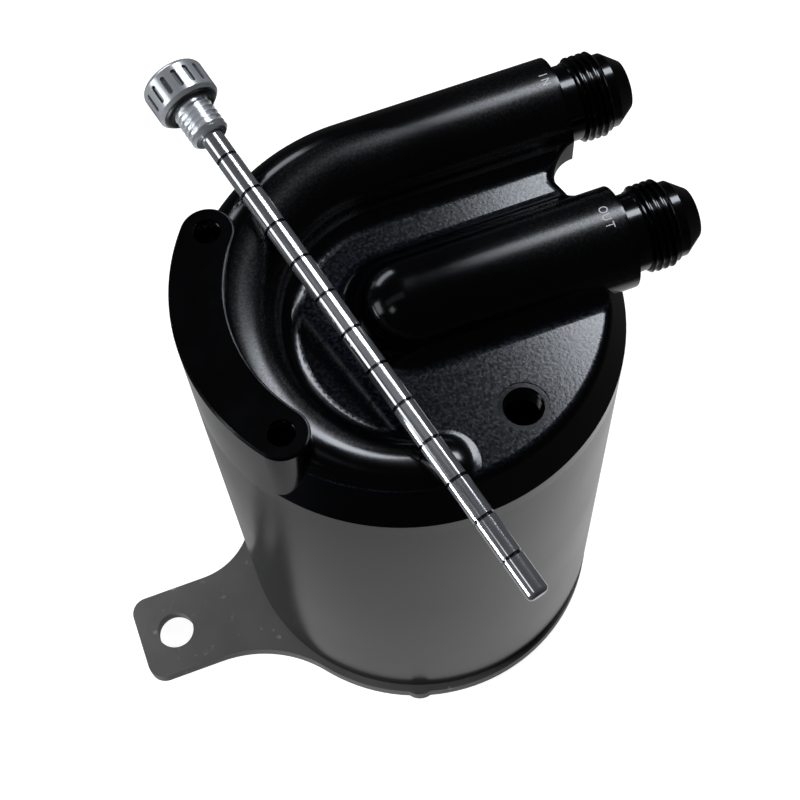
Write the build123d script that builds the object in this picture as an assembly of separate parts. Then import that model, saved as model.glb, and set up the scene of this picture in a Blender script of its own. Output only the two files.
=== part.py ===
"""Oil catch can: a round can with a machined lid, a bracket under its base and a loose dipstick.

The frame has its origin on the can's axis, at the can's lower edge, where the bracket's top face lies.
+Z is up and +X is the way that both hose ends point. Lengths are millimetres and angles are degrees.
"""

import os
from math import atan, cos, degrees, hypot, radians, sin, sqrt, tan

from build123d import *

# Can body
can_r = 55.0
can_h = 134.0
can_wall = 3.0
can_floor = 2.0
can_foot_chamfer = 0.8

# Lid crown, from the joint with the can upwards
rim_band = 5.2
crown_rise = 10.6
crown_inset = 4.8
crown_round = 3.0

# Arms and the curved ridge that carries the inlet down into the can
arm_r = 13.0
arm_edge_gap = 3.6
out_y = -3.0
ridge_drop = 11.0
ridge_sweep = 172.0
foot_fillet = 6.0
web_t = 5.4
web_past_rim = 0.92

# Raised pad: an arc slot in plan, flush with the can's wall
pad_rise = 11.4
pad_w = 13.4
pad_half_angle = 36.0
pad_chamfer = 0.6
pad_hole_r = 3.4
pad_hole_depth = 9.5

# Hose ends, cut on the ends of the arms
neck_r = 9.9
neck_len = 4.6
hose_thread_r = 11.1
hose_thread_len = 7.8
thread_chamfer = 0.7
collar_r = 9.65
collar_len = 2.3
nose_r = 6.4
nose_angle = 37.0
passage_r = 5.8

# Dipstick port in the flat
port_edge_gap = 14.4
port_angle = -65.7
port_r = 5.0
port_spot_r = 6.3
port_spot_depth = 0.3

# Underside of the lid
spigot_len = 9.5
spigot_wall = 6.85
spigot_chamfer = 0.8
ceiling_t = 8.0
socket_wall = 4.0
socket_len = 8.3
socket_shoulder = 3.3
volute_sweep = 125.0

# Lid seal
seal_section_r = 1.05
seal_groove_w = 2.8
seal_groove_from_seat = 2.8

# Dip tube under the outlet
tube_r = 8.0
tube_wall = 1.5
tube_len = 52.0

# Splash baffle and its pillars
baffle_t = 2.0
baffle_gap = 2.0
baffle_hole_r = 5.0
baffle_hole_ring_r = 36.0
baffle_hole_count = 12
baffle_rod_hole_r = 7.0
pillar_count = 3
pillar_ring_r = 24.0
pillar_first_angle = 30.0
pillar_flats = 8.0
pillar_len = 67.3
stud_len = 6.0

# Small screws, for the bracket and for the baffle
screw_r = 2.5
screw_head_r = 4.75
screw_head_h = 2.75
screw_head_top_r = 3.0
screw_head_bulge = 0.72
screw_socket_flats = 3.0
screw_socket_depth = 1.6
bracket_screw_count = 4
bracket_screw_len = 12.0
baffle_screw_len = 8.0
screw_boss_r = 6.0
screw_boss_h = 12.0

# Drain plug and its washer
drain_r = 7.0
drain_boss_r = 13.0
drain_boss_h = 10.0
drain_len = 11.0
drain_head_r = 10.5
drain_head_h = 3.5
drain_socket_flats = 8.0
drain_socket_depth = 2.6
washer_r = 10.0
washer_t = 1.5

# Mounting bracket
sheet_t = 4.8
bracket_shift_x = -1.0
bracket_shift_y = -1.7
ear_w = 27.2
ear_mid_y = -7.3
ear_reach = 41.6
ear_corner_r = 5.0
ear_hole_inset = 11.5
ear_hole_r = 5.7
ear_back_flare_r = 21.5
ear_front_flare_r = 38.0
tab_r = 5.5
tab_rise = 2.9
tab_angle = -109.8
bracket_window_gap = 2.5

# Dipstick, lying across the ridge
rod_r = 2.8
rod_len = 136.1
rod_tip_round = 1.2
rod_tang_len = 6.0
groove_count = 12
groove_pitch = 10.75
groove_w = 0.8
groove_depth = 0.35
groove_from_tip = 10.6
stem_len = 9.6
cap_r = 8.15
cap_h = 9.5
cap_round = 1.6
cap_chamfer = 0.8
cap_slot_count = 16
cap_slot_w = 1.3
cap_slot_len = 5.2
cap_slot_depth = 0.7
cap_slot_from_seat = 1.9
cap_ring_r = 0.95
cap_recess_depth = 1.0
rest_back_angle = 126.7
rest_front_angle = 261.3
rest_from_cap = 31.9

# Fits
thread_gap = 0.07
slide_gap = 0.15
clearance_hole_gap = 0.25
seal_gap = 0.05
rest_gap = 0.05

# How closely an edge must lie to a level or a radius to be picked
edge_match = 0.01

# Worked-out levels and places
seat_z = can_h
rim_z = seat_z + rim_band
flat_z = rim_z + crown_rise
pad_z = flat_z + pad_rise
ceiling_z = flat_z - ceiling_t
flat_r = can_r - crown_inset
bore_r = can_r - can_wall
in_y = can_r - arm_edge_gap - arm_r
arm_spacing = in_y - out_y
web_y = out_y + arm_spacing / 2
web_gap_r = arm_spacing / 2 - arm_r
arm_end = sqrt(flat_r**2 - web_y**2) + web_past_rim + web_gap_r
pad_mid_r = can_r - pad_w / 2
spigot_r = bore_r - slide_gap
pocket_r = spigot_r - spigot_wall
spigot_z = seat_z - spigot_len
screw_ring_r = bore_r - screw_boss_r + can_wall / 4
socket_r = tube_r + slide_gap
socket_z = ceiling_z - socket_len
tube_top_z = ceiling_z - socket_shoulder
baffle_top_z = ceiling_z - pillar_len
port_x = (can_r - port_edge_gap) * cos(radians(port_angle))
port_y = (can_r - port_edge_gap) * sin(radians(port_angle))
ear_end_x = -can_r - ear_reach
ear_hole_x = ear_end_x + ear_hole_inset
stem_r = port_r - thread_gap
cap_recess_r = stem_r + 2 * (cap_ring_r + seal_gap)

ON_BASE = (Align.CENTER, Align.CENTER, Align.MIN)
FROM_TOP = (Align.CENTER, Align.CENTER, Align.MAX)

# The ridge is part of a ring whose plane tilts about X, so that it sinks into the flat from back to front
ridge_tilt = degrees(atan(ridge_drop / (2 * arm_spacing)))
ridge_r = hypot(arm_spacing, ridge_drop / 2)
ridge_plane = Plane(
    origin=(0, out_y, flat_z - ridge_drop / 2),
    x_dir=(1, 0, 0),
    z_dir=Vector(0, 0, 1).rotate(Axis.X, ridge_tilt),
)
ridge_end = 90 + ridge_sweep
reach = 2 * (can_r + arm_r)


def bar_x(start, end, y, radius):
    """Return a round bar along X at the level of the lid's flat."""
    base = Plane(origin=(start, y, flat_z), x_dir=(0, 1, 0), z_dir=(1, 0, 0))
    return base * Cylinder(radius, end - start, align=ON_BASE)


def post(x, y, bottom, top, radius):
    """Return a round post between two levels."""
    return Pos(x, y, bottom) * Cylinder(radius, top - bottom, align=ON_BASE)


def side_of(x_range, y_range):
    """Return a tall block over a range of X and Y, which picks out one side of the lid."""
    x0, x1 = x_range
    y0, y1 = y_range
    return Pos((x0 + x1) / 2, (y0 + y1) / 2, flat_z) * Box(x1 - x0, y1 - y0, 2 * reach)


def turned(points):
    """Return the solid turned about Z from a half profile of (radius, z) points."""
    return revolve(Plane.XZ * make_face(Polyline(*points, close=True)), Axis.Z)


def ring_places(count, radius, first_angle):
    """Return evenly spaced (x, y) places on a circle."""
    angles = [radians(first_angle + 360 * i / count) for i in range(count)]
    return [(radius * cos(a), radius * sin(a)) for a in angles]


def on_ridge(angle, lift=0):
    """Return the point of the ridge's centre line at an angle of its ring, lifted off the ring's plane."""
    turn = radians(angle)
    return ridge_plane.from_local_coords(Vector(ridge_r * cos(turn), ridge_r * sin(turn), lift))


def with_foot(form):
    """Return a wide slab, level with the flat, with the form standing on it and its foot filleted."""
    slab = Pos(0, 0, flat_z) * Box(2 * reach, 2 * reach, 2 * arm_r, align=FROM_TOP)
    joined = slab + form
    level = joined.edges().filter_by_position(Axis.Z, flat_z - edge_match, flat_z + edge_match)
    foot = [e for e in level if max(abs(e.center().X), abs(e.center().Y)) < reach - edge_match]
    return fillet(foot, foot_fillet)


def with_round_rim(block):
    """Return a piece of the crown with the free edge of its flat rounded."""
    arcs = block.edges().filter_by(GeomType.CIRCLE)
    level = arcs.filter_by_position(Axis.Z, flat_z - edge_match, flat_z + edge_match)
    rim = [e for e in level if min(abs(e.radius - flat_r), abs(e.radius - web_gap_r)) < edge_match]
    return fillet(rim, crown_round) if rim else block


def crown():
    """Return the lid's solid top, with the ridge, the feet of both arms and the web between them."""
    ball = Sphere(arm_r)
    outlet = bar_x(0, reach, out_y, arm_r) + Pos(0, out_y, flat_z) * ball
    ridge = ridge_plane * Torus(ridge_r, arm_r)
    tail = Pos(*on_ridge(ridge_end)) * ball
    up_to_end = ridge_plane * Rot(0, 0, ridge_end) * Pos(0, -reach, 0) * Box(2 * reach, 2 * reach, 4 * reach)
    left = side_of((-reach, 0), (-reach, reach)) & up_to_end
    right = side_of((0, reach), (-reach, reach))
    inlet = bar_x(-reach, reach, in_y, arm_r)
    rest = (with_foot(inlet) & right) + (with_foot(tail) - left)
    top = (with_foot(ridge) & left) + rest + with_foot(outlet)

    crown_top = flat_z + 2 * arm_r
    cone_r = can_r - crown_inset / crown_rise * (crown_top - rim_z)
    envelope = turned([(0, seat_z), (can_r, seat_z), (can_r, rim_z), (cone_r, crown_top), (0, crown_top)])
    web = side_of((0, arm_end), (out_y, in_y)) & post(0, 0, flat_z - web_t, crown_top, reach)
    web = web - post(arm_end, web_y, flat_z - web_t, crown_top, web_gap_r)
    web = web - side_of((arm_end, reach), (web_y - web_gap_r, web_y + web_gap_r))
    shaped = top & (envelope + web)
    front = shaped & side_of((-reach, reach), (-reach, out_y))
    middle = shaped & side_of((-reach, reach), (out_y, in_y))
    back = shaped & side_of((-reach, reach), (in_y, reach))
    ridge_back = ridge & side_of((-reach, 0), (out_y, reach)) & post(0, 0, rim_z, crown_top, reach)
    return with_round_rim(front) + with_round_rim(middle) + back + ridge_back


def hose_end(y):
    """Return the threaded hose end on an arm, with its neck, collar and flared nose."""
    thread_x = arm_end + neck_len
    collar_x = thread_x + hose_thread_len
    nose_x = collar_x + collar_len
    tip_x = nose_x + (collar_r - nose_r) / tan(radians(nose_angle))
    profile = Polyline(
        (arm_end - neck_len, 0),
        (arm_end - neck_len, neck_r),
        (thread_x, neck_r),
        (thread_x, hose_thread_r - thread_chamfer),
        (thread_x + thread_chamfer, hose_thread_r),
        (collar_x - thread_chamfer, hose_thread_r),
        (collar_x, hose_thread_r - thread_chamfer),
        (collar_x, collar_r),
        (nose_x, collar_r),
        (tip_x, nose_r),
        (tip_x, 0),
        close=True,
    )
    turned_end = revolve(make_face(profile), Axis.X)
    return Pos(0, y, flat_z) * turned_end


def pad_hole_places():
    """Return the (x, y) places of the two tapped holes in the pad."""
    angles = [radians(180 + turn) for turn in (-pad_half_angle, pad_half_angle)]
    return [(pad_mid_r * cos(a), pad_mid_r * sin(a)) for a in angles]


def pad():
    """Return the raised arc pad, with full-round ends and a chamfered top edge."""
    middle = CenterArc((0, 0), pad_mid_r, 180 - pad_half_angle, 2 * pad_half_angle)
    block = extrude(Pos(0, 0, seat_z) * SlotArc(middle, pad_w), pad_z - seat_z)
    return chamfer(block.faces().sort_by(Axis.Z)[-1].edges(), pad_chamfer)


def volute_passage():
    """Return the inlet's way through the ridge, which curls down and opens under the ceiling."""
    section = Plane(origin=(0, in_y, flat_z), x_dir=(0, 1, 0), z_dir=(-1, 0, 0)) * Circle(passage_r)
    curl = revolve(section, Axis(ridge_plane.origin, ridge_plane.z_dir), volute_sweep)
    return curl + Pos(*on_ridge(90 + volute_sweep)) * Sphere(passage_r)


def lid():
    """Return the lid: crown, arms, hose ends, pad and spigot in one piece, with its passages and holes."""
    solid = crown() + pad()
    for y in (out_y, in_y):
        solid = solid + bar_x(0, arm_end, y, arm_r) + hose_end(y)

    skirt = turned(
        [
            (pocket_r, spigot_z),
            (spigot_r - spigot_chamfer, spigot_z),
            (spigot_r, spigot_z + spigot_chamfer),
            (spigot_r, seat_z + rim_band / 2),
            (pocket_r, seat_z + rim_band / 2),
        ]
    )
    solid = solid - post(0, 0, spigot_z, ceiling_z, pocket_r) + skirt
    solid = solid + post(0, out_y, socket_z, ceiling_z + ceiling_t / 2, socket_r + socket_wall)

    groove_top = seat_z - seal_groove_from_seat
    groove_floor_r = bore_r - 2 * (seal_section_r + seal_gap)
    groove = post(0, 0, groove_top - seal_groove_w, groove_top, bore_r)
    solid = solid - (groove - post(0, 0, spigot_z, seat_z, groove_floor_r))

    for y in (out_y, in_y):
        solid = solid - bar_x(0, reach, y, passage_r)
    solid = solid - volute_passage()
    solid = solid - Pos(0, out_y, flat_z) * Sphere(passage_r) - post(0, out_y, socket_z, flat_z, passage_r)
    solid = solid - post(0, out_y, socket_z, tube_top_z, socket_r)

    solid = solid - post(port_x, port_y, ceiling_z, flat_z, port_r)
    solid = solid - post(port_x, port_y, flat_z - port_spot_depth, flat_z, port_spot_r)
    for x, y in pad_hole_places():
        solid = solid - post(x, y, pad_z - pad_hole_depth, pad_z, pad_hole_r)
    for x, y in ring_places(pillar_count, pillar_ring_r, pillar_first_angle):
        solid = solid - post(x, y, ceiling_z, ceiling_z + stud_len, screw_r)
    return solid


def lid_o_ring():
    """Return the round-section seal in the spigot's groove."""
    middle_z = seat_z - seal_groove_from_seat - seal_groove_w / 2
    return Pos(0, 0, middle_z) * Torus(bore_r - seal_gap - seal_section_r, seal_section_r)


def outlet_tube():
    """Return the dip tube that hangs from the socket under the outlet."""
    outer = post(0, out_y, tube_top_z - tube_len, tube_top_z, tube_r)
    return outer - post(0, out_y, tube_top_z - tube_len, tube_top_z, tube_r - tube_wall)


def baffle_plate():
    """Return the drilled splash plate, with a hole for the dipstick."""
    plate = post(0, 0, baffle_top_z - baffle_t, baffle_top_z, bore_r - baffle_gap)
    drilled = ring_places(baffle_hole_count, baffle_hole_ring_r, port_angle)[1:]
    holes = [(x, y, baffle_hole_r) for x, y in drilled]
    holes.append((port_x, port_y, baffle_rod_hole_r))
    for x, y in ring_places(pillar_count, pillar_ring_r, pillar_first_angle):
        holes.append((x, y, screw_r + clearance_hole_gap))
    for x, y, radius in holes:
        plate = plate - post(x, y, baffle_top_z - baffle_t, baffle_top_z, radius)
    return plate


def baffle_standoff(x, y):
    """Return one hexagonal pillar, with a stud into the lid and a tapped lower end."""
    hexagon = RegularPolygon(pillar_flats / 2, 6, major_radius=False)
    pillar = Pos(x, y, baffle_top_z) * extrude(hexagon, pillar_len)
    pillar = pillar + post(x, y, ceiling_z, ceiling_z + stud_len - slide_gap, screw_r - thread_gap)
    return pillar - post(x, y, baffle_top_z, baffle_top_z + baffle_screw_len, screw_r)


def button_screw(length):
    """Return a button-head screw that points up, with the underside of its head at z = 0."""
    profile = make_face(
        [
            Line((0, length), (screw_r - thread_gap, length)),
            Line((screw_r - thread_gap, length), (screw_r - thread_gap, 0)),
            Line((screw_r - thread_gap, 0), (screw_head_r, 0)),
            Line((screw_head_r, 0), (screw_head_r, -screw_head_h / 4)),
            ThreePointArc(
                (screw_head_r, -screw_head_h / 4),
                ((screw_head_r + screw_head_top_r) / 2 + screw_head_h / 8, -screw_head_bulge * screw_head_h),
                (screw_head_top_r, -screw_head_h),
            ),
            Line((screw_head_top_r, -screw_head_h), (0, -screw_head_h)),
            Line((0, -screw_head_h), (0, length)),
        ]
    )
    socket = extrude(RegularPolygon(screw_socket_flats / 2, 6, major_radius=False), screw_socket_depth)
    return revolve(Plane.XZ * profile, Axis.Z) - Pos(0, 0, -screw_head_h) * socket


def can_body():
    """Return the cup, with blind bosses for the bracket's screws and a drain boss."""
    shell = post(0, 0, 0, can_h, can_r)
    shell = chamfer(shell.edges().group_by(Axis.Z)[0], can_foot_chamfer)
    shell = shell - post(0, 0, can_floor, can_h, bore_r)
    places = ring_places(bracket_screw_count, screw_ring_r, 180 / bracket_screw_count)
    for x, y in places:
        shell = shell + post(x, y, can_floor / 2, can_floor + screw_boss_h, screw_boss_r)
    shell = shell + post(0, 0, can_floor / 2, can_floor + drain_boss_h, drain_boss_r)
    for x, y in places:
        shell = shell - post(x, y, 0, bracket_screw_len - sheet_t + slide_gap, screw_r)
    return shell - post(0, 0, 0, can_floor + drain_boss_h, drain_r)


def drain_plug():
    """Return the flanged plug that is screwed into the floor from below."""
    plug = post(0, 0, -washer_t, drain_len - washer_t, drain_r - thread_gap)
    plug = plug + post(0, 0, -washer_t - drain_head_h, -washer_t, drain_head_r)
    socket = extrude(RegularPolygon(drain_socket_flats / 2, 6, major_radius=False), drain_socket_depth)
    return plug - Pos(0, 0, -washer_t - drain_head_h) * socket


def drain_washer():
    """Return the flat seal under the plug's head."""
    return post(0, 0, -washer_t, 0, washer_r) - post(0, 0, -washer_t, 0, drain_r + slide_gap)


def mounting_bracket():
    """Return the flat bracket: a disc under the can, with one ear that flares into it and a small tab."""
    disc = post(bracket_shift_x, bracket_shift_y, -sheet_t, 0, can_r)
    ear = Pos(ear_end_x / 2, ear_mid_y, -sheet_t) * Box(-ear_end_x, ear_w, sheet_t, align=ON_BASE)
    corners = ear.edges().filter_by(Axis.Z).group_by(Axis.X)[0]
    sheet = disc + fillet(corners, ear_corner_r)
    uprights = sheet.edges().filter_by(Axis.Z)
    roots = [e for e in uprights if ear_end_x + 2 * ear_corner_r < e.center().X < -can_r / 2]
    front_root, back_root = sorted(roots, key=lambda edge: edge.center().Y)
    sheet = fillet([front_root], ear_front_flare_r)
    back_root = sheet.edges().filter_by(Axis.Z).sort_by_distance(back_root.center())[0]
    sheet = fillet([back_root], ear_back_flare_r)
    tab_out = can_r + tab_rise - tab_r
    tab_turn = radians(tab_angle)
    sheet = sheet + post(tab_out * cos(tab_turn), tab_out * sin(tab_turn), -sheet_t, 0, tab_r)

    sheet = sheet - post(ear_hole_x, ear_mid_y, -sheet_t, 0, ear_hole_r)
    sheet = sheet - post(0, 0, -sheet_t, 0, max(drain_head_r, washer_r) + bracket_window_gap)
    for x, y in ring_places(bracket_screw_count, screw_ring_r, 180 / bracket_screw_count):
        sheet = sheet - post(x, y, -sheet_t, 0, screw_r + clearance_hole_gap)
    return sheet


def dipstick_plane():
    """Return the plane in which the dipstick is turned: z runs from the cap's seat to the rod's tip."""
    lift = arm_r + rod_r + rest_gap
    back = on_ridge(rest_back_angle, lift)
    front = on_ridge(rest_front_angle, lift)
    along = (front - back).normalized()
    return Plane(origin=back - along * rest_from_cap, x_dir=ridge_plane.z_dir, z_dir=along)


def dipstick_cap():
    """Return the slotted cap and its threaded stem."""
    knob = turned([(0, -cap_h), (cap_r, -cap_h), (cap_r, -cap_chamfer), (cap_r - cap_chamfer, 0), (0, 0)])
    knob = fillet(knob.edges().group_by(Axis.Z)[0], cap_round)
    slot = Plane.XZ.offset(cap_slot_depth - cap_r) * SlotOverall(cap_slot_len, cap_slot_w, rotation=90)
    cutter = Pos(0, 0, -cap_slot_from_seat - cap_slot_len / 2) * extrude(slot, -2 * cap_slot_depth)
    for i in range(cap_slot_count):
        knob = knob - Rot(0, 0, 360 * i / cap_slot_count) * cutter
    knob = knob - post(0, 0, -cap_recess_depth, 0, cap_recess_r)
    stem = post(0, 0, -cap_recess_depth, stem_len, stem_r)
    stem = chamfer(stem.edges().group_by(Axis.Z)[-1], thread_chamfer)
    stem = stem - post(0, 0, stem_len - rod_tang_len, stem_len, rod_r + slide_gap)
    return knob + stem


def dipstick_o_ring():
    """Return the seal round the stem, in the cap's recess."""
    return Pos(0, 0, cap_ring_r - cap_recess_depth) * Torus(stem_r + seal_gap + cap_ring_r, cap_ring_r)


def dipstick_rod():
    """Return the rod, with its level grooves and a rounded tip."""
    start = stem_len - rod_tang_len
    tip = start + rod_tang_len + rod_len
    rod = post(0, 0, start, tip, rod_r)
    rod = fillet(rod.edges().group_by(Axis.Z)[-1], rod_tip_round)
    for i in range(groove_count):
        middle = tip - groove_from_tip - groove_pitch * i
        ring = post(0, 0, middle - groove_w / 2, middle + groove_w / 2, 2 * rod_r)
        rod = rod - (ring - post(0, 0, start, tip, rod_r - groove_depth))
    return rod


def nodes():
    """Return every sub-part by its node's name."""
    pillars = ring_places(pillar_count, pillar_ring_r, pillar_first_angle)
    baffle_screw = Pos(0, 0, baffle_top_z - baffle_t) * button_screw(baffle_screw_len)
    bracket_screw = Pos(0, 0, -sheet_t) * button_screw(bracket_screw_len)
    bracket_places = ring_places(bracket_screw_count, screw_ring_r, 180 / bracket_screw_count)
    laid = dipstick_plane()
    return {
        "lid": lid(),
        "lid_o_ring": lid_o_ring(),
        "outlet_tube": outlet_tube(),
        "baffle_plate": baffle_plate(),
        "baffle_standoffs": Compound([baffle_standoff(x, y) for x, y in pillars]),
        "baffle_screws": Compound([Pos(x, y, 0) * baffle_screw for x, y in pillars]),
        "can_body": can_body(),
        "drain_plug": drain_plug(),
        "drain_washer": drain_washer(),
        "mounting_bracket": mounting_bracket(),
        "bracket_screws": Compound([Pos(x, y, 0) * bracket_screw for x, y in bracket_places]),
        "dipstick_cap": laid * dipstick_cap(),
        "dipstick_o_ring": laid * dipstick_o_ring(),
        "dipstick_rod": laid * dipstick_rod(),
    }


def main():
    """Write one STEP file for each sub-part."""
    os.makedirs("parts", exist_ok=True)
    for name, shape in nodes().items():
        export_step(shape, f"parts/{name}.step")


if __name__ == "__main__":
    main()
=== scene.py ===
"""Looks of the oil catch can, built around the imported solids.

Lengths of the part and of its finishes are millimetres in the part's own frame, and are turned to metres
where a mesh or a material takes them. The lights' sizes and distances are metres.
"""

import logging
import math
from dataclasses import dataclass, field
from enum import Enum
from typing import Callable

import bmesh
import bpy
from mathutils import Matrix, Vector


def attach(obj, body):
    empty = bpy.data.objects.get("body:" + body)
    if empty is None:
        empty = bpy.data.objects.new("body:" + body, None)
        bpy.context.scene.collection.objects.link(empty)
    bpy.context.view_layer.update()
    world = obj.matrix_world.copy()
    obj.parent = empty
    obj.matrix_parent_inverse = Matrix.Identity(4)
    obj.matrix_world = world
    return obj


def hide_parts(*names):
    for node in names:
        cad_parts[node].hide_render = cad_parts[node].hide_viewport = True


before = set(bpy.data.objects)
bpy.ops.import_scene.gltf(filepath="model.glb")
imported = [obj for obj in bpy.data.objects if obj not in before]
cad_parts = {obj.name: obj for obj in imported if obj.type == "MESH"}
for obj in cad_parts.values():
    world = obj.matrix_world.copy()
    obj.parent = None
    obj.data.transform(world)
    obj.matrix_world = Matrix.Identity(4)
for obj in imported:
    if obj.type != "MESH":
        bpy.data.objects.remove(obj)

LOG = logging.getLogger("catch_can")
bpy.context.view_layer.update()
MM = 0.001
BODY = "root"
CUT_SLACK = 0.00000001
UPRIGHT = (0.0, 0.0, 1.0)
HOSE_WAY = (1.0, 0.0, 0.0)


class Slot(Enum):
    """Names of material slots, which are passed to the new pieces but not used."""

    LID = "black_lid"
    ALUMINIUM = "plain_aluminium"


class Side(Enum):
    """The side of a sleeve that carries its thread."""

    OUTER = 1
    INNER = -1


class Shading:
    """A material's node tree, with short calls for the nodes that the finishes use."""

    def __init__(self, name: str) -> None:
        """Start a material with one Principled shader.

        Args:
            name: The material's name.
        """
        self.material = bpy.data.materials.new(name)
        self.material.use_nodes = True
        self.tree = self.material.node_tree
        self.shader = self.tree.nodes["Principled BSDF"]
        self.place = self.tree.nodes.new("ShaderNodeTexCoord").outputs["Object"]

    def node(self, kind: str, inputs: dict, **settings: object) -> bpy.types.Node:
        """Add a node.

        Args:
            kind: The node's type, without the common first part of its name.
            inputs: Values or output sockets, by the input's name or number.
            **settings: The node's own properties.

        Returns:
            The new node.
        """
        made = self.tree.nodes.new("ShaderNode" + kind)
        for key, value in settings.items():
            setattr(made, key, value)
        for key, value in inputs.items():
            self.feed(made.inputs[key], value)
        return made

    def feed(self, socket: bpy.types.NodeSocket, value: object) -> None:
        """Link an output to a socket, or set the socket's own value."""
        if isinstance(value, bpy.types.NodeSocket):
            self.tree.links.new(value, socket)
        else:
            socket.default_value = value

    def set(self, **values: object) -> None:
        """Set the shader's sockets by name, with _ for a space."""
        for key, value in values.items():
            self.feed(self.shader.inputs[key.replace("_", " ")], value)

    def noise(self, scale: float, detail: float, place: object = None) -> bpy.types.NodeSocket:
        """Return a noise's value at a scale per metre."""
        where = self.place if place is None else place
        made = self.node("TexNoise", {"Vector": where, "Scale": scale, "Detail": detail})
        return made.outputs["Fac"]

    def stretched(self, scale: tuple, turn: tuple = (0.0, 0.0, 0.0)) -> bpy.types.NodeSocket:
        """Return Object coordinates that are turned and then stretched.

        Args:
            scale: The factor along each axis.
            turn: The turn about each axis, in radians.

        Returns:
            The coordinates' output.
        """
        turned = self.node("Mapping", {"Vector": self.place, "Rotation": turn})
        return self.node("Mapping", {"Vector": turned.outputs[0], "Scale": scale}).outputs[0]

    def span(
        self, value: object, low: float, high: float, to_low: float, to_high: float
    ) -> bpy.types.NodeSocket:
        """Map a value's range to another one, clamped.

        Args:
            value: The value's output.
            low: The value that gives to_low.
            high: The value that gives to_high.
            to_low: The result at low.
            to_high: The result at high.

        Returns:
            The mapped value's output.
        """
        ends = {"From Min": low, "From Max": high, "To Min": to_low, "To Max": to_high}
        return self.node("MapRange", {"Value": value, **ends}).outputs["Result"]

    def times(self, first: object, second: object) -> bpy.types.NodeSocket:
        """Return the product of two values."""
        return self.node("Math", {0: first, 1: second}, operation="MULTIPLY").outputs[0]

    def blend(self, share: object, first: object, second: object) -> bpy.types.NodeSocket:
        """Return a value between two values, by the share of the second."""
        return self.node("Mix", {0: share, 2: first, 3: second}).outputs[0]

    def mixed(self, share: object, first: object, second: object) -> bpy.types.NodeSocket:
        """Return a colour between two colours.

        Args:
            share: The share of the second colour.
            first: The colour at 0, as three numbers or an output.
            second: The colour at 1, as three numbers or an output.

        Returns:
            The colour's output.
        """
        ends = [end if isinstance(end, bpy.types.NodeSocket) else (*end, 1.0) for end in (first, second)]
        return self.node("Mix", {0: share, 6: ends[0], 7: ends[1]}, data_type="RGBA").outputs[2]

    def bump(self, height: object, depth: float, under: object = None) -> bpy.types.NodeSocket:
        """Return a normal that is roughened by a height.

        Args:
            height: The height's output, from 0 to 1.
            depth: What a height of 1 stands for, in millimetres.
            under: Another normal, which this one is laid over.

        Returns:
            The normal's output.
        """
        made = self.node("Bump", {"Height": height, "Distance": depth * MM, "Strength": 1.0})
        if under is not None:
            self.feed(made.inputs["Normal"], under)
        return made.outputs["Normal"]

    def from_axis(self, origin: tuple, axis: tuple) -> tuple:
        """Give a point's place along and round a straight axis.

        Args:
            origin: A point of the axis, in millimetres.
            axis: The axis's direction.

        Returns:
            The outputs of the distance along the axis and of the distance from it, in metres.
        """
        start = tuple(value * MM for value in origin)
        local = self.node("VectorMath", {0: self.place, 1: start}, operation="SUBTRACT").outputs[0]
        along = self.node("VectorMath", {0: local, 1: axis}, operation="DOT_PRODUCT").outputs["Value"]
        across = self.node("VectorMath", {0: local, 1: axis}, operation="CROSS_PRODUCT").outputs[0]
        out = self.node("VectorMath", {0: across}, operation="LENGTH").outputs["Value"]
        return along, out


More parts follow.
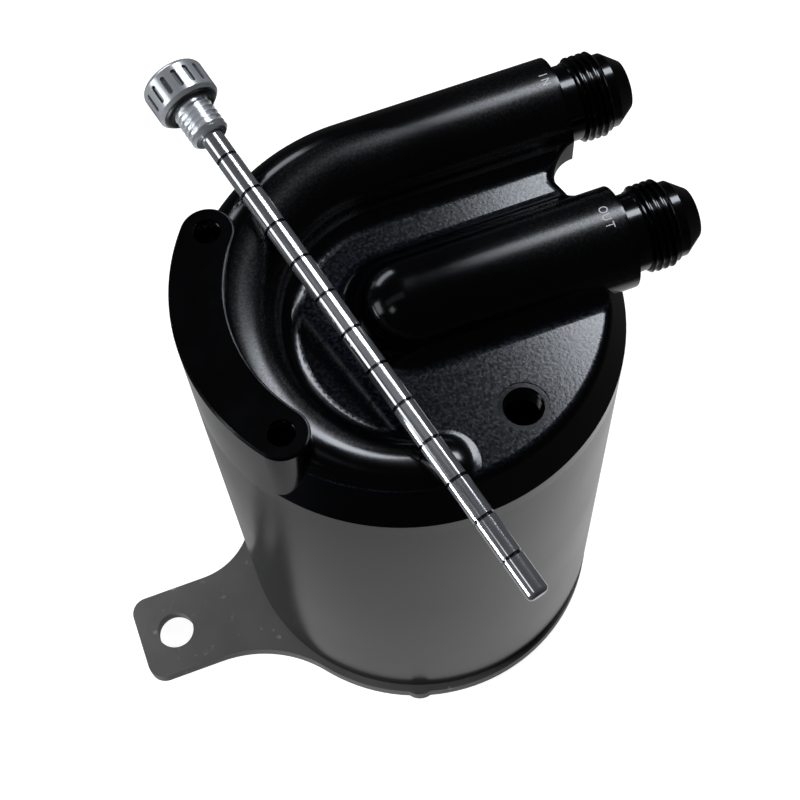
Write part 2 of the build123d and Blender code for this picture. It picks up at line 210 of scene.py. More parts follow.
@dataclass(frozen=True)
class LidFinish:
    """Black anodising: glossy, duller on the arms and the ridge, with mill marks on the flat."""

    colour: tuple = (0.0005, 0.0006, 0.0010)
    speckle: tuple = (0.0016, 0.0018, 0.0030)
    milled: tuple = (0.0140, 0.0180, 0.0300)
    # Pale colour of the painted highlight along the pad's inner edge.
    lighter_tone: tuple = (0.24, 0.24, 0.25)
    roughness: float = 0.14
    flat_roughness: float = 0.15
    form_roughness: float = 0.25
    form_from_z: float = 151.6
    form_edge: float = 0.8
    arm_x: tuple = (8.0, 55.4)
    arm_fade: float = 26.0
    ridge_r: tuple = (25.0, 41.4)
    flat_z: float = 149.8
    flat_fade: float = 0.4
    pad_z: float = 161.2
    pad_chamfer: float = 0.6
    highlight_full: float = 0.14
    highlight_fade: float = 0.19
    highlight_facing: tuple = (0.45, 0.6)
    cloud_scale: float = 90.0
    fine_scale: float = 1500.0
    grain_scale: float = 1250.0
    mark_scale: tuple = (60.0, 1500.0, 60.0)
    mark_turn: float = math.radians(47)
    mark_depth: float = 0.0032
    pit_depth: float = 0.014
    fine_depth: float = 0.005

    def material(self) -> bpy.types.Material:
        """Return the finish's material."""
        look = Shading("lid_black_anodise")
        cloud = look.noise(self.cloud_scale, 5.0)
        fine = look.noise(self.fine_scale, 3.0)
        grain = look.noise(self.grain_scale, 3.0)
        strokes = look.noise(1.0, 3.0, look.stretched(self.mark_scale, (0.0, 0.0, self.mark_turn)))
        spot = look.node("SeparateXYZ", {0: look.place})
        level = self.at_level(look, spot, self.flat_z, 0.0, self.flat_fade)
        smooth = look.span(cloud, 0.3, 0.7, self.roughness - 0.02, self.roughness + 0.04)
        milled = look.span(grain, 0.3, 0.7, self.flat_roughness - 0.03, self.flat_roughness + 0.04)
        formed = look.span(fine, 0.3, 0.7, self.form_roughness - 0.04, self.form_roughness + 0.05)
        raised = look.blend(self.formed_share(look, spot), smooth, formed)
        pits = look.bump(look.times(grain, level), self.pit_depth, look.bump(fine, self.fine_depth))
        plain = look.mixed(look.span(fine, 0.55, 0.75, 0.0, 1.0), self.colour, self.speckle)
        dusty = look.mixed(look.span(grain, 0.4, 0.7, 0.0, 1.0), self.speckle, self.milled)
        tone = look.mixed(level, plain, dusty)
        look.set(
            # The base colour carries a painted highlight along the pad's inner edge, on the side towards
            # +X.
            Base_Color=look.mixed(self.edge_highlight_share(look, spot, cloud), tone, self.lighter_tone),
            Roughness=look.blend(level, raised, milled),
            Normal=look.bump(look.times(strokes, level), self.mark_depth, pits),
            Specular_IOR_Level=0.5,
        )
        return look.material

    def formed_share(self, look: Shading, spot: bpy.types.Node) -> bpy.types.NodeSocket:
        """Give 1 on the arms and the curled ridge, which a ball cutter has left duller, and 0 elsewhere.

        Args:
            look: The material that takes the nodes.
            spot: The node that gives the place's three coordinates.

        Returns:
            The share's output.
        """
        step = self.form_edge * MM
        x = spot.outputs["X"]
        start, end = (value * MM for value in self.arm_x)
        inner, outer = (value * MM for value in self.ridge_r)
        level = look.node("CombineXYZ", {"X": x, "Y": spot.outputs["Y"]}).outputs[0]
        out = look.node("VectorMath", {0: level}, operation="LENGTH").outputs["Value"]
        onward = look.span(x, start, start + self.arm_fade * MM, 0.0, 1.0)
        behind = look.span(x, start, start + self.arm_fade * MM, 1.0, 0.0)
        arms = look.times(onward, look.span(x, end - step, end, 1.0, 0.0))
        from_inner = look.span(out, inner - step, inner, 0.0, 1.0)
        ridge = look.times(from_inner, look.span(out, outer - step, outer, 1.0, 0.0))
        curl = look.times(ridge, behind)
        either = look.node("Math", {0: arms, 1: curl}, operation="MAXIMUM").outputs[0]
        low = self.form_from_z * MM
        return look.times(look.span(spot.outputs["Z"], low, low + step, 0.0, 1.0), either)

    def edge_highlight_share(
        self, look: Shading, spot: bpy.types.Node, cloud: bpy.types.NodeSocket
    ) -> bpy.types.NodeSocket:
        """Give the share of a painted highlight along the pad's inner edge, on its faces towards +X, in
        patches.

        Args:
            look: The material that takes the nodes.
            spot: The node that gives the place's three coordinates.
            cloud: The output of the noise that makes the painted highlight patchy.

        Returns:
            The share's output.
        """
        normal = look.node("NewGeometry", {}).outputs["Normal"]
        facing = look.node("SeparateXYZ", {0: normal}).outputs["X"]
        inward = look.span(facing, *self.highlight_facing, 0.0, 1.0)
        edge_z = self.pad_z - self.pad_chamfer / 3
        edge = self.at_level(look, spot, edge_z, self.highlight_full, self.highlight_fade)
        return look.times(look.times(inward, edge), look.span(cloud, 0.35, 0.6, 0.25, 1.0))

    def at_level(
        self, look: Shading, spot: bpy.types.Node, level: float, full: float, fade: float
    ) -> bpy.types.NodeSocket:
        """Give 1 near a level of the lid and 0 away from it.

        Args:
            look: The material that takes the nodes.
            spot: The node that gives the place's three coordinates.
            level: The level.
            full: The distance up to which the result is 1.
            fade: The distance from which it is 0.

        Returns:
            The result's output.
        """
        off = look.node("Math", {0: spot.outputs["Z"], 1: level * MM}, operation="SUBTRACT").outputs[0]
        away = look.node("Math", {0: off}, operation="ABSOLUTE").outputs[0]
        return look.span(away, full * MM, fade * MM, 1.0, 0.0)


@dataclass(frozen=True)
class CanFinish:
    """Satin black anodising over a turned wall, with faint rings round the can's axis."""

    colour: tuple = (0.0030, 0.0030, 0.0033)
    lighter_tone: tuple = (0.0062, 0.0061, 0.0064)
    roughness: float = 0.2
    ring_scale: tuple = (30.0, 30.0, 3200.0)
    ring_depth: float = 0.0028
    cloud_scale: float = 26.0
    fine_scale: float = 2300.0
    fine_depth: float = 0.0025

    def material(self) -> bpy.types.Material:
        """Return the finish's material."""
        look = Shading("can_satin_black")
        rings = look.noise(1.0, 3.0, look.stretched(self.ring_scale))
        cloud = look.noise(self.cloud_scale, 4.0)
        fine = look.noise(self.fine_scale, 2.0)
        look.set(
            Base_Color=look.mixed(look.span(cloud, 0.45, 0.75, 0.0, 1.0), self.colour, self.lighter_tone),
            Roughness=look.span(cloud, 0.3, 0.7, self.roughness - 0.02, self.roughness + 0.04),
            Normal=look.bump(rings, self.ring_depth, look.bump(fine, self.fine_depth)),
            Specular_IOR_Level=0.5,
        )
        return look.material


@dataclass(frozen=True)
class BracketFinish:
    """Dark coated sheet with rubbed clouds, small pale scuffs and fine scratches."""

    colour: tuple = (0.112, 0.105, 0.101)
    rubbed: tuple = (0.152, 0.144, 0.139)
    bare: tuple = (0.36, 0.35, 0.34)
    cloud_scale: float = 38.0
    chip_scale: float = 260.0
    scratch_scale: tuple = (60.0, 1500.0, 60.0)
    scratch_turn: float = math.radians(-56)
    fine_scale: float = 2100.0
    fine_depth: float = 0.006

    def material(self) -> bpy.types.Material:
        """Return the finish's material."""
        look = Shading("bracket_coated_sheet")
        cloud = look.noise(self.cloud_scale, 6.0)
        spots = look.noise(self.chip_scale, 3.0)
        scratch = look.noise(1.0, 2.0, look.stretched(self.scratch_scale, (0.0, 0.0, self.scratch_turn)))
        fine = look.noise(self.fine_scale, 3.0)
        tone = look.mixed(look.span(cloud, 0.35, 0.7, 0.0, 1.0), self.colour, self.rubbed)
        chips = look.span(spots, 0.655, 0.72, 0.0, 0.5)
        lines = look.span(scratch, 0.70, 0.8, 0.0, 0.35)
        wear = look.node("Math", {0: chips, 1: lines}, operation="MAXIMUM").outputs[0]
        look.set(
            Base_Color=look.mixed(wear, tone, self.bare),
            Roughness=look.span(cloud, 0.3, 0.75, 0.42, 0.58),
            Normal=look.bump(fine, self.fine_depth),
            Specular_IOR_Level=0.4,
        )
        return look.material


@dataclass(frozen=True)
class TurnedMetal:
    """Bare turned metal with fine tool rings along its own axis, and painted shade in the cuts below its
    outer face.
    """

    name: str
    colour: tuple
    stain: tuple
    roughness: float
    origin: tuple = (0.0, 0.0, 0.0)
    axis: tuple = UPRIGHT
    metallic: float = 1.0
    cut_r: float = 0.0
    cut_span: tuple = (0.0, 0.0)
    cut_shade_colour: tuple = (0.06, 0.06, 0.065)
    cut_fade: float = 0.1
    cut_edge: float = 0.04
    ring_scale: float = 2600.0
    ring_depth: float = 0.0005
    stain_scale: float = 160.0

    def material(self) -> bpy.types.Material:
        """Return the finish's material."""
        look = Shading(self.name)
        along, out = look.from_axis(self.origin, self.axis)
        where = look.node("CombineXYZ", {"X": along, "Y": out}).outputs[0]
        rings = look.noise(self.ring_scale, 2.0, where)
        cloud = look.noise(self.stain_scale, 4.0)
        tone = look.mixed(look.span(cloud, 0.4, 0.75, 0.0, 1.0), self.colour, self.stain)
        # Painted shade: a darker colour in the slots or grooves below the outer face.
        if self.cut_r > 0.0:
            tone = look.mixed(self.cut_shade_share(look, along, out), tone, self.cut_shade_colour)
        look.set(
            Base_Color=tone,
            Metallic=self.metallic,
            Roughness=look.span(rings, 0.25, 0.75, self.roughness - 0.008, self.roughness + 0.012),
            Normal=look.bump(rings, self.ring_depth),
        )
        return look.material

    def cut_shade_share(
        self, look: Shading, along: bpy.types.NodeSocket, out: bpy.types.NodeSocket
    ) -> bpy.types.NodeSocket:
        """Give the share of painted shade: 1 in the slots or grooves and 0 on the outer face.

        Args:
            look: The material that takes the nodes.
            along: The output of the distance along the axis.
            out: The output of the distance from the axis.

        Returns:
            The share's output.
        """
        low, high = (value * MM for value in self.cut_span)
        fade, floor = self.cut_fade * MM, self.cut_r * MM
        after = look.span(along, low - fade, low, 0.0, 1.0)
        before = look.span(along, high, high + fade, 1.0, 0.0)
        below = look.span(out, floor - self.cut_edge * MM, floor, 1.0, 0.0)
        return look.times(look.times(after, before), below)


@dataclass(frozen=True)
class RubberFinish:
    """Black moulded rubber with a faint bloom."""

    colour: tuple = (0.006, 0.006, 0.0062)
    bloom: tuple = (0.016, 0.016, 0.017)
    cloud_scale: float = 700.0
    cloud_depth: float = 0.008

    def material(self) -> bpy.types.Material:
        """Return the finish's material."""
        look = Shading("seal_rubber_black")
        cloud = look.noise(self.cloud_scale, 4.0)
        look.set(
            Base_Color=look.mixed(look.span(cloud, 0.4, 0.7, 0.0, 1.0), self.colour, self.bloom),
            Roughness=look.span(cloud, 0.3, 0.7, 0.36, 0.52),
            Normal=look.bump(cloud, self.cloud_depth),
        )
        return look.material


@dataclass(frozen=True)
class MarkFinish:
    """Pale laser-cut marking, dull and slightly mottled."""

    colour: tuple = (0.95, 0.95, 0.94)
    faint: tuple = (0.80, 0.80, 0.80)
    mottle_scale: float = 4200.0

    def material(self) -> bpy.types.Material:
        """Return the finish's material."""
        look = Shading("laser_mark")
        mottle = look.noise(self.mottle_scale, 3.0)
        look.set(
            Base_Color=look.mixed(look.span(mottle, 0.35, 0.7, 0.0, 1.0), self.colour, self.faint),
            Roughness=look.span(mottle, 0.3, 0.7, 0.5, 0.68),
        )
        return look.material


@dataclass
class Axis:
    """A straight axis of the part, with a direction that counts as up round it."""

    origin: tuple
    along: tuple
    up: tuple

    def matrix(self) -> Matrix:
        """Return the matrix that takes a mesh along local Z, in metres, to this axis."""
        z = Vector(self.along).normalized()
        y = z.cross(Vector(self.up)).normalized()
        x = y.cross(z)
        turn = Matrix((x, y, z)).transposed().to_4x4()
        return Matrix.Translation(Vector(self.origin) * MM) @ turn

    def place_of(self, point: Vector) -> tuple:
        """Return the place along the axis of a point in metres and its distance from it, in millimetres."""
        local = point / MM - Vector(self.origin)
        along = local.dot(Vector(self.along).normalized())
        return along, math.sqrt(max(0.0, local.length_squared - along**2))

    def drawn_to(self, point: Vector, radius: float) -> Vector:
        """Return a point in metres at the same place along the axis, but at a radius in millimetres."""
        foot = Vector(self.origin) + Vector(self.along).normalized() * self.place_of(point)[0]
        return (foot + (point / MM - foot).normalized() * radius) * MM


def new_piece(
    name: str, mesh: bmesh.types.BMesh, material: bpy.types.Material, sharp: float
) -> bpy.types.Object:
    """Make an object from a mesh, finish it and let it ride on the part.

    Args:
        name: The piece's name.
        mesh: The mesh, in place and in metres. It is freed here.
        material: The piece's material.
        sharp: The angle past which an edge stays sharp, in degrees.

    Returns:
        The new object.
    """
    data = bpy.data.meshes.new(name)
    mesh.to_mesh(data)
    mesh.free()
    data.shade_smooth()
    data.set_sharp_from_angle(angle=math.radians(sharp))
    data.materials.append(material)
    piece = bpy.data.objects.new(name, data)
    bpy.context.scene.collection.objects.link(piece)
    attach(piece, BODY)
    LOG.info("%s: %d faces", name, len(data.polygons))
    return piece


def dress_node(node: str, material: bpy.types.Material) -> None:
    """Give a carried-over node a material in each of its slots."""
    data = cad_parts[node].data
    if not data.materials:
        data.materials.append(material)
    for index in range(len(data.materials)):
        data.materials[index] = material
    LOG.info("%s: dressed", node)


@dataclass(frozen=True)
class Band:
    """A plain round band of a node, which a modelled thread takes the place of."""

    axis: Axis
    low: float
    high: float
    inner_r: float
    outer_r: float
    core_r: float
    slack: float = 0.01

    def holds(self, along: float, out: float) -> bool:
        """Say whether a place along and away from the axis is in the band."""
        in_length = self.low - self.slack < along < self.high + self.slack
        return in_length and self.inner_r < out < self.outer_r + self.slack


@dataclass
class NodeCopy:
    """A merged copy of a CAD node with plain thread bands cut from it and the solid's normals kept."""

    node: str
    bands: list[Band]
    round_r: float = 0.0
    round_slack: float = 0.02
    round_facing: float = 0.9
    weld: float = 0.0005
    sharp: float = 180.0
    keep: str = "solid_normal"

    def build(self, material: bpy.types.Material, slot: Slot) -> bpy.types.Object:
        """Copy the node, cut its bands, close it again and let it stand for the node.

        Args:
            material: The copy's material.
            slot: The copy's material slot. Not used.

        Returns:
            The copy.
        """
        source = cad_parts[self.node].data
        mesh = bmesh.new()
        mesh.from_mesh(source)
        layer = mesh.loops.layers.float_vector.new(self.keep)
        for face in mesh.faces:
            for loop in face.loops:
                loop[layer] = source.corner_normals[loop.index].vector
        bmesh.ops.remove_doubles(mesh, verts=mesh.verts[:], dist=self.weld * MM)
        for band in self.bands:
            self.cut_band(mesh, band)
        piece = new_piece(self.node + "_looks", mesh, material, self.sharp)
        self.restore_normals(piece.data)
        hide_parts(self.node)
        return piece

    def cut_band(self, mesh: bmesh.types.BMesh, band: Band) -> None:
        """Cut the faces of one band and close the gap with a thinner plain core.

        Args:
            mesh: The node's merged mesh.
            band: The band that is cut.
        """
        spots = {v: band.axis.place_of(v.co) for v in mesh.verts}
        inside = [face for face in mesh.faces if all(band.holds(*spots[v]) for v in face.verts)]
        rims = {edge for face in inside for edge in face.edges}
        bmesh.ops.delete(mesh, geom=inside, context="FACES_KEEP_BOUNDARY")
        open_edges = [edge for edge in rims if edge.is_valid and edge.is_boundary]
        made = bmesh.ops.extrude_edge_only(mesh, edges=open_edges)["geom"]
        for vert in [item for item in made if isinstance(item, bmesh.types.BMVert)]:
            vert.co = band.axis.drawn_to(vert.co, band.core_r)
        rings = [item for item in made if isinstance(item, bmesh.types.BMEdge) and item.is_boundary]
        bmesh.ops.bridge_loops(mesh, edges=rings)
        LOG.info("%s: %d faces of a band cut, %d open edges", self.node, len(inside), len(open_edges))

    def restore_normals(self, data: bpy.types.Mesh) -> None:
        """Give each kept corner the solid's own normal again."""
        normals = [Vector(item.vector) for item in data.attributes[self.keep].data]
        if self.round_r > 0.0:
            self.true_round(data, normals)
        data.normals_split_custom_set([normal[:] for normal in normals])
        data.attributes.remove(data.attributes[self.keep])

    def true_round(self, data: bpy.types.Mesh, normals: list[Vector]) -> None:
        """Turn the normals on the node's round side straight away from its axis.

        Args:
            data: The copy's mesh.
            normals: One normal for each corner, changed in place.
        """
        axis = self.bands[0].axis
        for loop in data.loops:
            point = data.vertices[loop.vertex_index].co
            if abs(axis.place_of(point)[1] - self.round_r) > self.round_slack:
                continue
            outward = (axis.drawn_to(point, 2.0 * self.round_r) - point).normalized()
            if normals[loop.index].dot(outward) > self.round_facing:
                normals[loop.index] = outward


@dataclass
class ThreadSleeve:
    """A sleeve with a screw thread on one side, made by spinning one tooth along a helix."""

    name: str
    axis: Axis
    length: float
    pitch: float
    crest_r: float
    depth: float
    wall_r: float
    side: Side = Side.OUTER
    end_chamfer: float = 0.9
    crest_half: float = 0.07
    root_half: float = 0.44
    weld: float = 0.002
    rim_slack: float = 0.001
    sharp: float = 38.0
    steps: int = 64

    def build(self, material: bpy.types.Material, slot: Slot) -> bpy.types.Object:
        """Make the sleeve in place.

        Args:
            material: The sleeve's material.
            slot: The sleeve's material slot. Not used.

        Returns:
            The new object.
        """
        mesh = bmesh.new()
        self.spin_tooth(mesh)
        for level, outer in ((0.0, False), (self.length * MM, True)):
            bmesh.ops.bisect_plane(
                mesh,
                geom=mesh.verts[:] + mesh.edges[:] + mesh.faces[:],
                dist=CUT_SLACK,
                plane_co=(0.0, 0.0, level),
                plane_no=UPRIGHT,
                clear_outer=outer,
                clear_inner=not outer,
            )
        self.chamfer_ends(mesh)
        self.close_wall(mesh)
        bmesh.ops.recalc_face_normals(mesh, faces=mesh.faces[:])
        bmesh.ops.transform(mesh, matrix=self.axis.matrix(), verts=mesh.verts[:])
        return new_piece(self.name, mesh, material, self.sharp)

    def spin_tooth(self, mesh: bmesh.types.BMesh) -> None:
        """Spin one tooth's outline along the helix, a turn past each end, and join the turns."""
        root = self.crest_r - self.side.value * self.depth
        half = [(self.crest_half, self.crest_r), (self.root_half, root), (0.5, root)]
        shape = [(-share, r) for share, r in reversed(half)] + half
        verts = [mesh.verts.new((r * MM, 0.0, (share - 1.0) * self.pitch * MM)) for share, r in shape]
        edges = [mesh.edges.new(pair) for pair in zip(verts, verts[1:])]
        turns = math.ceil(self.length / self.pitch) + 2
        bmesh.ops.spin(
            mesh,
            geom=verts + edges,
            cent=(0.0, 0.0, 0.0),
            axis=UPRIGHT,
            dvec=(0.0, 0.0, self.pitch * MM / self.steps),
            angle=2.0 * math.pi * turns,
            steps=self.steps * turns,
        )
        bmesh.ops.remove_doubles(mesh, verts=mesh.verts[:], dist=self.weld * MM)

    def chamfer_ends(self, mesh: bmesh.types.BMesh) -> None:
        """Draw the teeth in towards the root at both ends, as a lead-in does."""
        for vert in mesh.verts:
            end = min(vert.co.z / MM, self.length - vert.co.z / MM)
            away = max(0.0, self.end_chamfer - end)
            limit = self.crest_r - self.side.value * away
            radius = math.hypot(vert.co.x, vert.co.y) / MM
            if (radius - limit) * self.side.value > 0.0:
                vert.co.x *= limit / radius
                vert.co.y *= limit / radius

    def close_wall(self, mesh: bmesh.types.BMesh) -> None:
        """Close the sleeve with flat ends and a plain wall on its other side."""
        rims = []
        slack = self.rim_slack * MM
        for level in (0.0, self.length * MM):
            ring = [
                edge
                for edge in mesh.edges
                if edge.is_boundary and all(abs(v.co.z - level) < slack for v in edge.verts)
            ]
            made = bmesh.ops.extrude_edge_only(mesh, edges=ring)["geom"]
            for vert in [item for item in made if isinstance(item, bmesh.types.BMVert)]:
                share = self.wall_r * MM / math.hypot(vert.co.x, vert.co.y)
                vert.co.x *= share
                vert.co.y *= share
            rims += [item for item in made if isinstance(item, bmesh.types.BMEdge) and item.is_boundary]
        bmesh.ops.bridge_loops(mesh, edges=rims)


@dataclass
class PortMark:
    """A short word that is marked round the top of an arm."""

    word: str
    arm_y: float
    arm_z: float
    arm_r: float
    middle_x: float
    turn: float
    height: float = 2.2
    narrow: float = 0.86
    pitch: float = 2.2
    lift: float = 0.012
    wrap_step: float = 0.2
    capital_share: float = 0.69
    sharp: float = 60.0

    def build(self, material: bpy.types.Material) -> bpy.types.Object:
        """Make the word's letters as thin plates that are wrapped on the arm.

        Args:
            material: The marking's material.

        Returns:
            The new object.
        """
        mesh = bmesh.new()
        for index, letter in enumerate(self.word):
            middle = self.turn * self.arm_r + (index - (len(self.word) - 1) / 2) * self.pitch
            self.add_letter(mesh, letter, middle)
        cuts = int(self.pitch * len(self.word) / self.wrap_step)
        for index in range(-cuts, cuts + 1):
            bmesh.ops.bisect_plane(
                mesh,
                geom=mesh.verts[:] + mesh.edges[:] + mesh.faces[:],
                dist=CUT_SLACK,
                plane_co=((self.turn * self.arm_r + index * self.wrap_step) * MM, 0.0, 0.0),
                plane_no=(1.0, 0.0, 0.0),
            )
        radius = (self.arm_r + self.lift) * MM
        for vert in mesh.verts:
            angle = vert.co.x / (self.arm_r * MM)
            vert.co = (
                self.middle_x * MM + vert.co.y,
                self.arm_y * MM - radius * math.sin(angle),
                self.arm_z * MM + radius * math.cos(angle),
            )
        return new_piece("mark_" + self.word.lower(), mesh, material, self.sharp)

    def add_letter(self, mesh: bmesh.types.BMesh, letter: str, middle: float) -> None:
        """Add one letter's flat mesh, upright and centred.

        Args:
            mesh: The mesh that takes the letter.
            letter: The letter.
            middle: The letter's middle along the line of writing.
        """
        text = bpy.data.curves.new("letter", "FONT")
        text.body = letter
        text.align_x = "CENTER"
        text.size = self.height * MM / self.capital_share
        text.resolution_u = 6
        holder = bpy.data.objects.new("letter", text)
        flat = bpy.data.meshes.new_from_object(holder)
        flat.transform(Matrix.Diagonal((self.narrow, 1.0, 1.0, 1.0)))
        flat.transform(Matrix.Translation((middle * MM, -self.height * MM / 2, 0.0)))
        mesh.from_mesh(flat)
        bpy.data.objects.remove(holder)
        bpy.data.curves.remove(text)
        bpy.data.meshes.remove(flat)


@dataclass
class Lid:
    """The machined lid with its hose threads, the threads in its holes and its two marks."""

    flat_z: float = 149.8
    outlet_y: float = -3.0
    inlet_y: float = 38.4
    arm_r: float = 13.0
    thread_x: float = 60.2
    thread_len: float = 7.8
    thread_r: float = 11.1
    thread_pitch: float = 1.814
    thread_depth: float = 1.05
    cut_r: float = 9.6
    core_r: float = 9.0
    sleeve_wall_r: float = 8.8
    port: tuple = (16.7, -37.0)
    port_r: float = 5.0
    port_len: float = 6.6
    port_top: float = 0.6
    port_pitch: float = 1.5
    port_depth: float = 0.75
    port_wall: float = 0.3
    pad_holes: tuple = ((-39.08, 28.39), (-39.08, -28.39))
    pad_z: float = 161.2
    pad_hole_r: float = 3.4
    pad_thread_len: float = 8.5
    pad_thread_top: float = 0.3
    pad_thread_depth: float = 0.38
    pad_thread_slack: float = 0.01
    pad_pitch: float = 1.25
    pad_wall: float = 0.2
    pad_steps: int = 40
    outlet_mark_x: float = 51.0
    outlet_mark_turn: float = math.radians(3)
    inlet_mark_x: float = 52.6
    inlet_mark_turn: float = math.radians(-2.5)
    finish: LidFinish = field(default_factory=LidFinish)
    mark: MarkFinish = field(default_factory=MarkFinish)

    def build(self) -> None:
        """Build and dress the lid."""
        black = self.finish.material()
        end_x = self.thread_x + self.thread_len
        arms = [self.arm(0.0, y) for y in (self.outlet_y, self.inlet_y)]
        bands = [Band(arm, self.thread_x, end_x, self.cut_r, self.thread_r, self.core_r) for arm in arms]
        NodeCopy("lid", bands).build(black, Slot.LID)
        self.make_hose_threads(black)
        self.make_hole_threads(black)
        self.make_marks()

    def arm(self, x: float, y: float) -> Axis:
        """Return an arm's axis from a place along it."""
        return Axis((x, y, self.flat_z), HOSE_WAY, UPRIGHT)

    def make_hose_threads(self, black: bpy.types.Material) -> None:
        """Make the threads of the two hose ends."""
        for name, y in (("outlet", self.outlet_y), ("inlet", self.inlet_y)):
            ThreadSleeve(
                name + "_hose_thread",
                self.arm(self.thread_x, y),
                length=self.thread_len,
                pitch=self.thread_pitch,
                crest_r=self.thread_r,
                depth=self.thread_depth,
                wall_r=self.sleeve_wall_r,
            ).build(black, Slot.LID)

    def make_hole_threads(self, black: bpy.types.Material) -> None:
        """Make the threads in the dipstick port and in the pad's holes."""
        port_z = self.flat_z - self.port_top - self.port_len
        ThreadSleeve(
            "port_thread",
            Axis((*self.port, port_z), UPRIGHT, HOSE_WAY),
            length=self.port_len,
            pitch=self.port_pitch,
            crest_r=self.port_r - self.port_depth,
            depth=self.port_depth,
            wall_r=self.port_r + self.port_wall,
            side=Side.INNER,
        ).build(black, Slot.LID)
        for index, hole in enumerate(self.pad_holes):
            ThreadSleeve(
                f"pad_thread_{index + 1}",
                Axis((*hole, self.pad_z - self.pad_thread_len), UPRIGHT, HOSE_WAY),
                length=self.pad_thread_len - self.pad_thread_top,
                pitch=self.pad_pitch,
                crest_r=self.pad_hole_r - self.pad_thread_depth,
                depth=self.pad_thread_depth - self.pad_thread_slack,
                wall_r=self.pad_hole_r + self.pad_wall,
                side=Side.INNER,
                steps=self.pad_steps,
            ).build(black, Slot.LID)

    def make_marks(self) -> None:
        """Mark the two arms."""
        pale = self.mark.material()
        marks = (
            ("OUT", self.outlet_y, self.outlet_mark_x, self.outlet_mark_turn),
            ("IN", self.inlet_y, self.inlet_mark_x, self.inlet_mark_turn),
        )
        for word, y, x, turn in marks:
            PortMark(word, y, self.flat_z, self.arm_r, x, turn).build(pale)


@dataclass
class Dipstick:
    """The loose dipstick: cap with a threaded stem, seal and grooved rod."""

    seat: tuple = (-32.6764, 58.789, 168.4979)
    along: tuple = (0.241922, -0.961845, -0.127781)
    up: tuple = (0.0, -0.131693, 0.991291)
    stem_r: float = 4.93
    stem_from: float = -1.0
    stem_to: float = 8.9
    stem_cut_r: float = 4.8
    stem_core_r: float = 3.9
    stem_wall_r: float = 3.7
    stem_pitch: float = 1.5
    stem_depth: float = 0.85
    stem_chamfer: float = 0.5
    cap_r: float = 8.15
    slot_r: float = 7.9
    slot_span: tuple = (-7.3, -1.7)
    groove_r: float = 2.75
    groove_span: tuple = (10.5, 143.5)

    def build(self) -> None:
        """Build and dress the dipstick."""
        dress_node("dipstick_rod", self.rod_finish().material())
        dress_node("dipstick_o_ring", RubberFinish().material())
        bright = self.cap_finish().material()
        axis = Axis(self.seat, self.along, self.up)
        band = Band(axis, self.stem_from, self.stem_to, self.stem_cut_r, self.stem_r, self.stem_core_r)
        NodeCopy("dipstick_cap", [band], self.cap_r).build(bright, Slot.ALUMINIUM)
        foot = Vector(self.seat) + Vector(self.along) * self.stem_from
        ThreadSleeve(
            "stem_thread",
            Axis(tuple(foot), self.along, self.up),
            length=self.stem_to - self.stem_from,
            pitch=self.stem_pitch,
            crest_r=self.stem_r,
            depth=self.stem_depth,
            wall_r=self.stem_wall_r,
            end_chamfer=self.stem_chamfer,
        ).build(bright, Slot.ALUMINIUM)

    def cap_finish(self) -> TurnedMetal:
        """Return the finish of the cap, with painted shade in its slots."""
        return TurnedMetal(
            "cap_turned_aluminium",
            colour=(0.92, 0.93, 0.95),
            stain=(0.80, 0.81, 0.83),
            roughness=0.25,
            origin=self.seat,
            axis=self.along,
            metallic=0.65,
            cut_r=self.slot_r,
            cut_span=self.slot_span,
            cut_shade_colour=(0.40, 0.40, 0.42),
        )

    def rod_finish(self) -> TurnedMetal:
        """Return the finish of the rod, with painted shade in its grooves."""
        return TurnedMetal(
            "rod_bright_steel",
            colour=(0.62, 0.62, 0.63),
            stain=(0.54, 0.54, 0.55),
            roughness=0.13,
            origin=self.seat,
            axis=self.along,
            metallic=0.8,
            cut_r=self.groove_r,
            cut_span=self.groove_span,
        )


@dataclass
class CanAndBracket:
    """The can, its bracket and the screws, among them those of the baffle."""

    can: CanFinish = field(default_factory=CanFinish)
    sheet: BracketFinish = field(default_factory=BracketFinish)
    steel: TurnedMetal = TurnedMetal("fastener_steel", (0.56, 0.56, 0.57), (0.44, 0.44, 0.45), 0.3)

    def build(self) -> None:
        """Dress the can, the bracket and the screws."""
        dress_node("can_body", self.can.material())
        dress_node("mounting_bracket", self.sheet.material())
        steel = self.steel.material()
        for node in ("drain_plug", "bracket_screws", "baffle_screws"):
            dress_node(node, steel)


@dataclass
class Inside:
    """The pieces inside the can, and the washer under its drain plug."""

    plain: TurnedMetal = TurnedMetal("inner_plain_aluminium", (0.70, 0.71, 0.72), (0.58, 0.59, 0.60), 0.36)
    seal: RubberFinish = field(default_factory=RubberFinish)

    def build(self) -> None:
        """Dress the inner pieces and the washer."""
        plain = self.plain.material()
        for node in ("outlet_tube", "baffle_plate", "baffle_standoffs", "drain_washer"):
            dress_node(node, plain)
        dress_node("lid_o_ring", self.seal.material())


def area_light(name: str, size: tuple, radiance: float, colour: tuple) -> bpy.types.Object:
    """Make a rectangular soft light.

    Args:
        name: The light's name.
        size: Its width and its height.
        radiance: How bright its face is.
        colour: Its colour.

    Returns:
        The light, at the origin and facing down.
    """
    data = bpy.data.lights.new(name, "AREA")
    data.shape = "RECTANGLE"
    data.size, data.size_y = size
    data.energy = radiance * math.pi * size[0] * size[1]
    data.color = colour
    light = bpy.data.objects.new(name, data)
    bpy.context.scene.collection.objects.link(light)
    return light


@dataclass
class Panel:
    """A soft light in the room, given by the direction in which the lid sees it."""

    name: str
    toward: tuple
    distance: float
    size: tuple
    radiance: float
    colour: tuple = (0.90, 0.95, 1.0)

    def build(self, target: Vector) -> None:
        """Make the light and aim it at the lid.

        Args:
            target: The point that the light faces.
        """
        light = area_light(self.name, self.size, self.radiance, self.colour)
        away = Vector(self.toward).normalized()
        light.location = target + away * self.distance
        light.rotation_euler = away.to_track_quat("Z", "Y").to_euler()


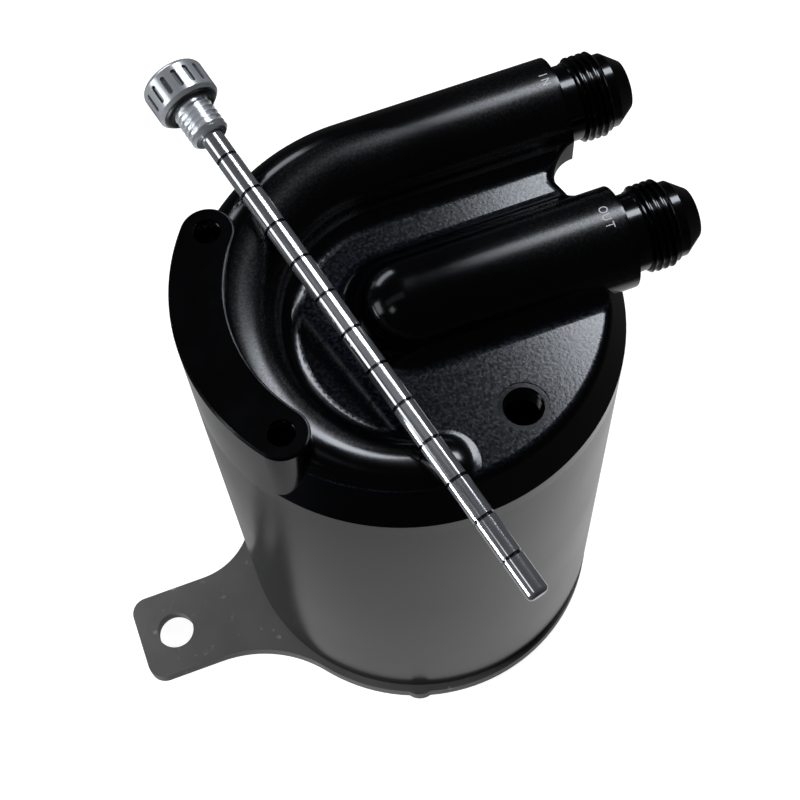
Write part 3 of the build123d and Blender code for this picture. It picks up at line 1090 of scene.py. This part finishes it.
@dataclass
class Overhead:
    """A level soft light, whose edges are given by the slopes at which the lid sees them."""

    name: str
    x_span: tuple
    y_span: tuple
    radiance: float
    colour: tuple
    height: float = 0.8

    def build(self, target: Vector) -> None:
        """Make the light above a point, facing straight down.

        Args:
            target: The point from which the slopes count.
        """
        size = tuple((span[1] - span[0]) * self.height for span in (self.x_span, self.y_span))
        light = area_light(self.name, size, self.radiance, self.colour)
        middle = Vector((sum(self.x_span) / 2, sum(self.y_span) / 2, 1.0))
        light.location = target + middle * self.height


@dataclass
class Studio:
    """Pale floor, soft lights and the camera at the photo's angle."""

    floor_z: float = -7.6
    floor_half: float = 3000.0
    pool_r: float = 125.0
    pool_fade: float = 50.0
    pool_glow: float = 0.50
    slope: float = 0.46
    slope_reach: float = 120.0
    seen_glow: float = 0.95
    room_glow: float = 0.02
    aim: tuple = (0.0, 0.0, 150.0)
    cool: tuple = (0.87, 0.92, 1.0)
    camera_at: tuple = (-53.6, -179.0, 488.2)
    forward: tuple = (0.1171, 0.4110, -0.9040)
    right: tuple = (0.9617, -0.2740, 0.0)
    roll: float = math.radians(-4.731)
    lens: float = 71.73
    sensor: float = 36.0

    def build(self) -> None:
        """Make the floor, the lights, the surroundings and the camera."""
        self.make_floor()
        self.make_world()
        self.make_lights()
        self.make_camera()

    def make_lights(self) -> None:
        """Make the soft lights round the lid."""
        target = Vector(self.aim) * MM
        lights = (
            Overhead("softbox", (0.295, 0.92), (0.28, 0.68), 13.0, self.cool),
            Overhead("ceiling", (-0.95, -0.03), (-0.04, 0.18), 0.22, self.cool),
            Panel("window_back", (-0.72, 2.25, 1.0), 1.0, (0.56, 0.20), 4.0, self.cool),
            Panel("lamp_left", (-2.4, 0.30, 1.0), 1.0, (0.40, 0.40), 2.6),
            Panel("lamp_front_left", (-0.76, -0.32, 1.0), 1.0, (0.16, 0.16), 2.0),
            Panel("lamp_low_left", (-0.320, -0.060, -0.030), 0.33, (0.14, 0.10), 20.0),
        )
        for light in lights:
            light.build(target)

    def make_floor(self) -> None:
        """Make a wide self-lit floor that reflections see only near the can."""
        mesh = bmesh.new()
        bmesh.ops.create_grid(mesh, x_segments=8, y_segments=8, size=self.floor_half * MM)
        bmesh.ops.translate(mesh, vec=(0.0, 0.0, self.floor_z * MM), verts=mesh.verts[:])
        data = bpy.data.meshes.new("floor")
        mesh.to_mesh(data)
        mesh.free()
        look = Shading("floor_white")
        # Painted light: reflections see the floor glow in a pool round the can, brighter towards +X, where
        # the lights come from.
        out = look.node("VectorMath", {0: look.place}, operation="LENGTH").outputs["Value"]
        rim = self.pool_r + self.pool_fade
        pool = look.span(out, self.pool_r * MM, rim * MM, self.pool_glow, self.room_glow)
        side = look.node("SeparateXYZ", {0: look.place}).outputs["X"]
        reach = self.slope_reach * MM
        lit = look.span(side, -reach, reach, 1.0 - self.slope, 1.0 + self.slope)
        seen = look.node("LightPath", {}).outputs["Is Camera Ray"]
        look.set(
            Base_Color=look.mixed(seen, (0.02, 0.02, 0.02), (0.4, 0.4, 0.4)),
            Roughness=0.7,
            Specular_IOR_Level=0.0,
            Emission_Color=(1.0, 1.0, 1.0, 1.0),
            Emission_Strength=look.blend(seen, look.times(pool, lit), self.seen_glow),
        )
        data.materials.append(look.material)
        floor = bpy.data.objects.new("floor", data)
        bpy.context.scene.collection.objects.link(floor)

    def make_world(self) -> None:
        """Make the surroundings pale to the camera and dim to the part."""
        scene = bpy.context.scene
        world = bpy.data.worlds.new("room")
        world.use_nodes = True
        tree = world.node_tree
        ground = tree.nodes["Background"]
        path = tree.nodes.new("ShaderNodeLightPath")
        blend = tree.nodes.new("ShaderNodeMix")
        blend.inputs[2].default_value = self.room_glow
        blend.inputs[3].default_value = self.seen_glow
        tree.links.new(path.outputs["Is Camera Ray"], blend.inputs[0])
        tree.links.new(blend.outputs[0], ground.inputs["Strength"])
        ground.inputs["Color"].default_value = (1.0, 1.0, 1.0, 1.0)
        scene.world = world
        scene.view_settings.view_transform = "Standard"

    def make_camera(self) -> None:
        """Make the camera and make it the scene's own."""
        data = bpy.data.cameras.new("photo_view")
        data.lens = self.lens
        data.sensor_width = self.sensor
        camera = bpy.data.objects.new("photo_view", data)
        bpy.context.scene.collection.objects.link(camera)
        ahead = Vector(self.forward).normalized()
        right = Vector(self.right).normalized()
        up = right.cross(ahead)
        across = math.cos(self.roll) * right + math.sin(self.roll) * up
        upright = math.cos(self.roll) * up - math.sin(self.roll) * right
        matrix = Matrix((across, upright, -ahead)).transposed().to_4x4()
        matrix.translation = Vector(self.camera_at) * MM
        camera.matrix_world = matrix
        bpy.context.scene.camera = camera


def main() -> None:
    """Build every sub-assembly in order."""
    logging.basicConfig(level=logging.INFO, format="%(name)s: %(message)s")
    builders: list[Callable[[], None]] = [
        Studio().build,
        Lid().build,
        Dipstick().build,
        CanAndBracket().build,
        Inside().build,
    ]
    for build in builders:
        build()


if __name__ == "__main__":
    main()
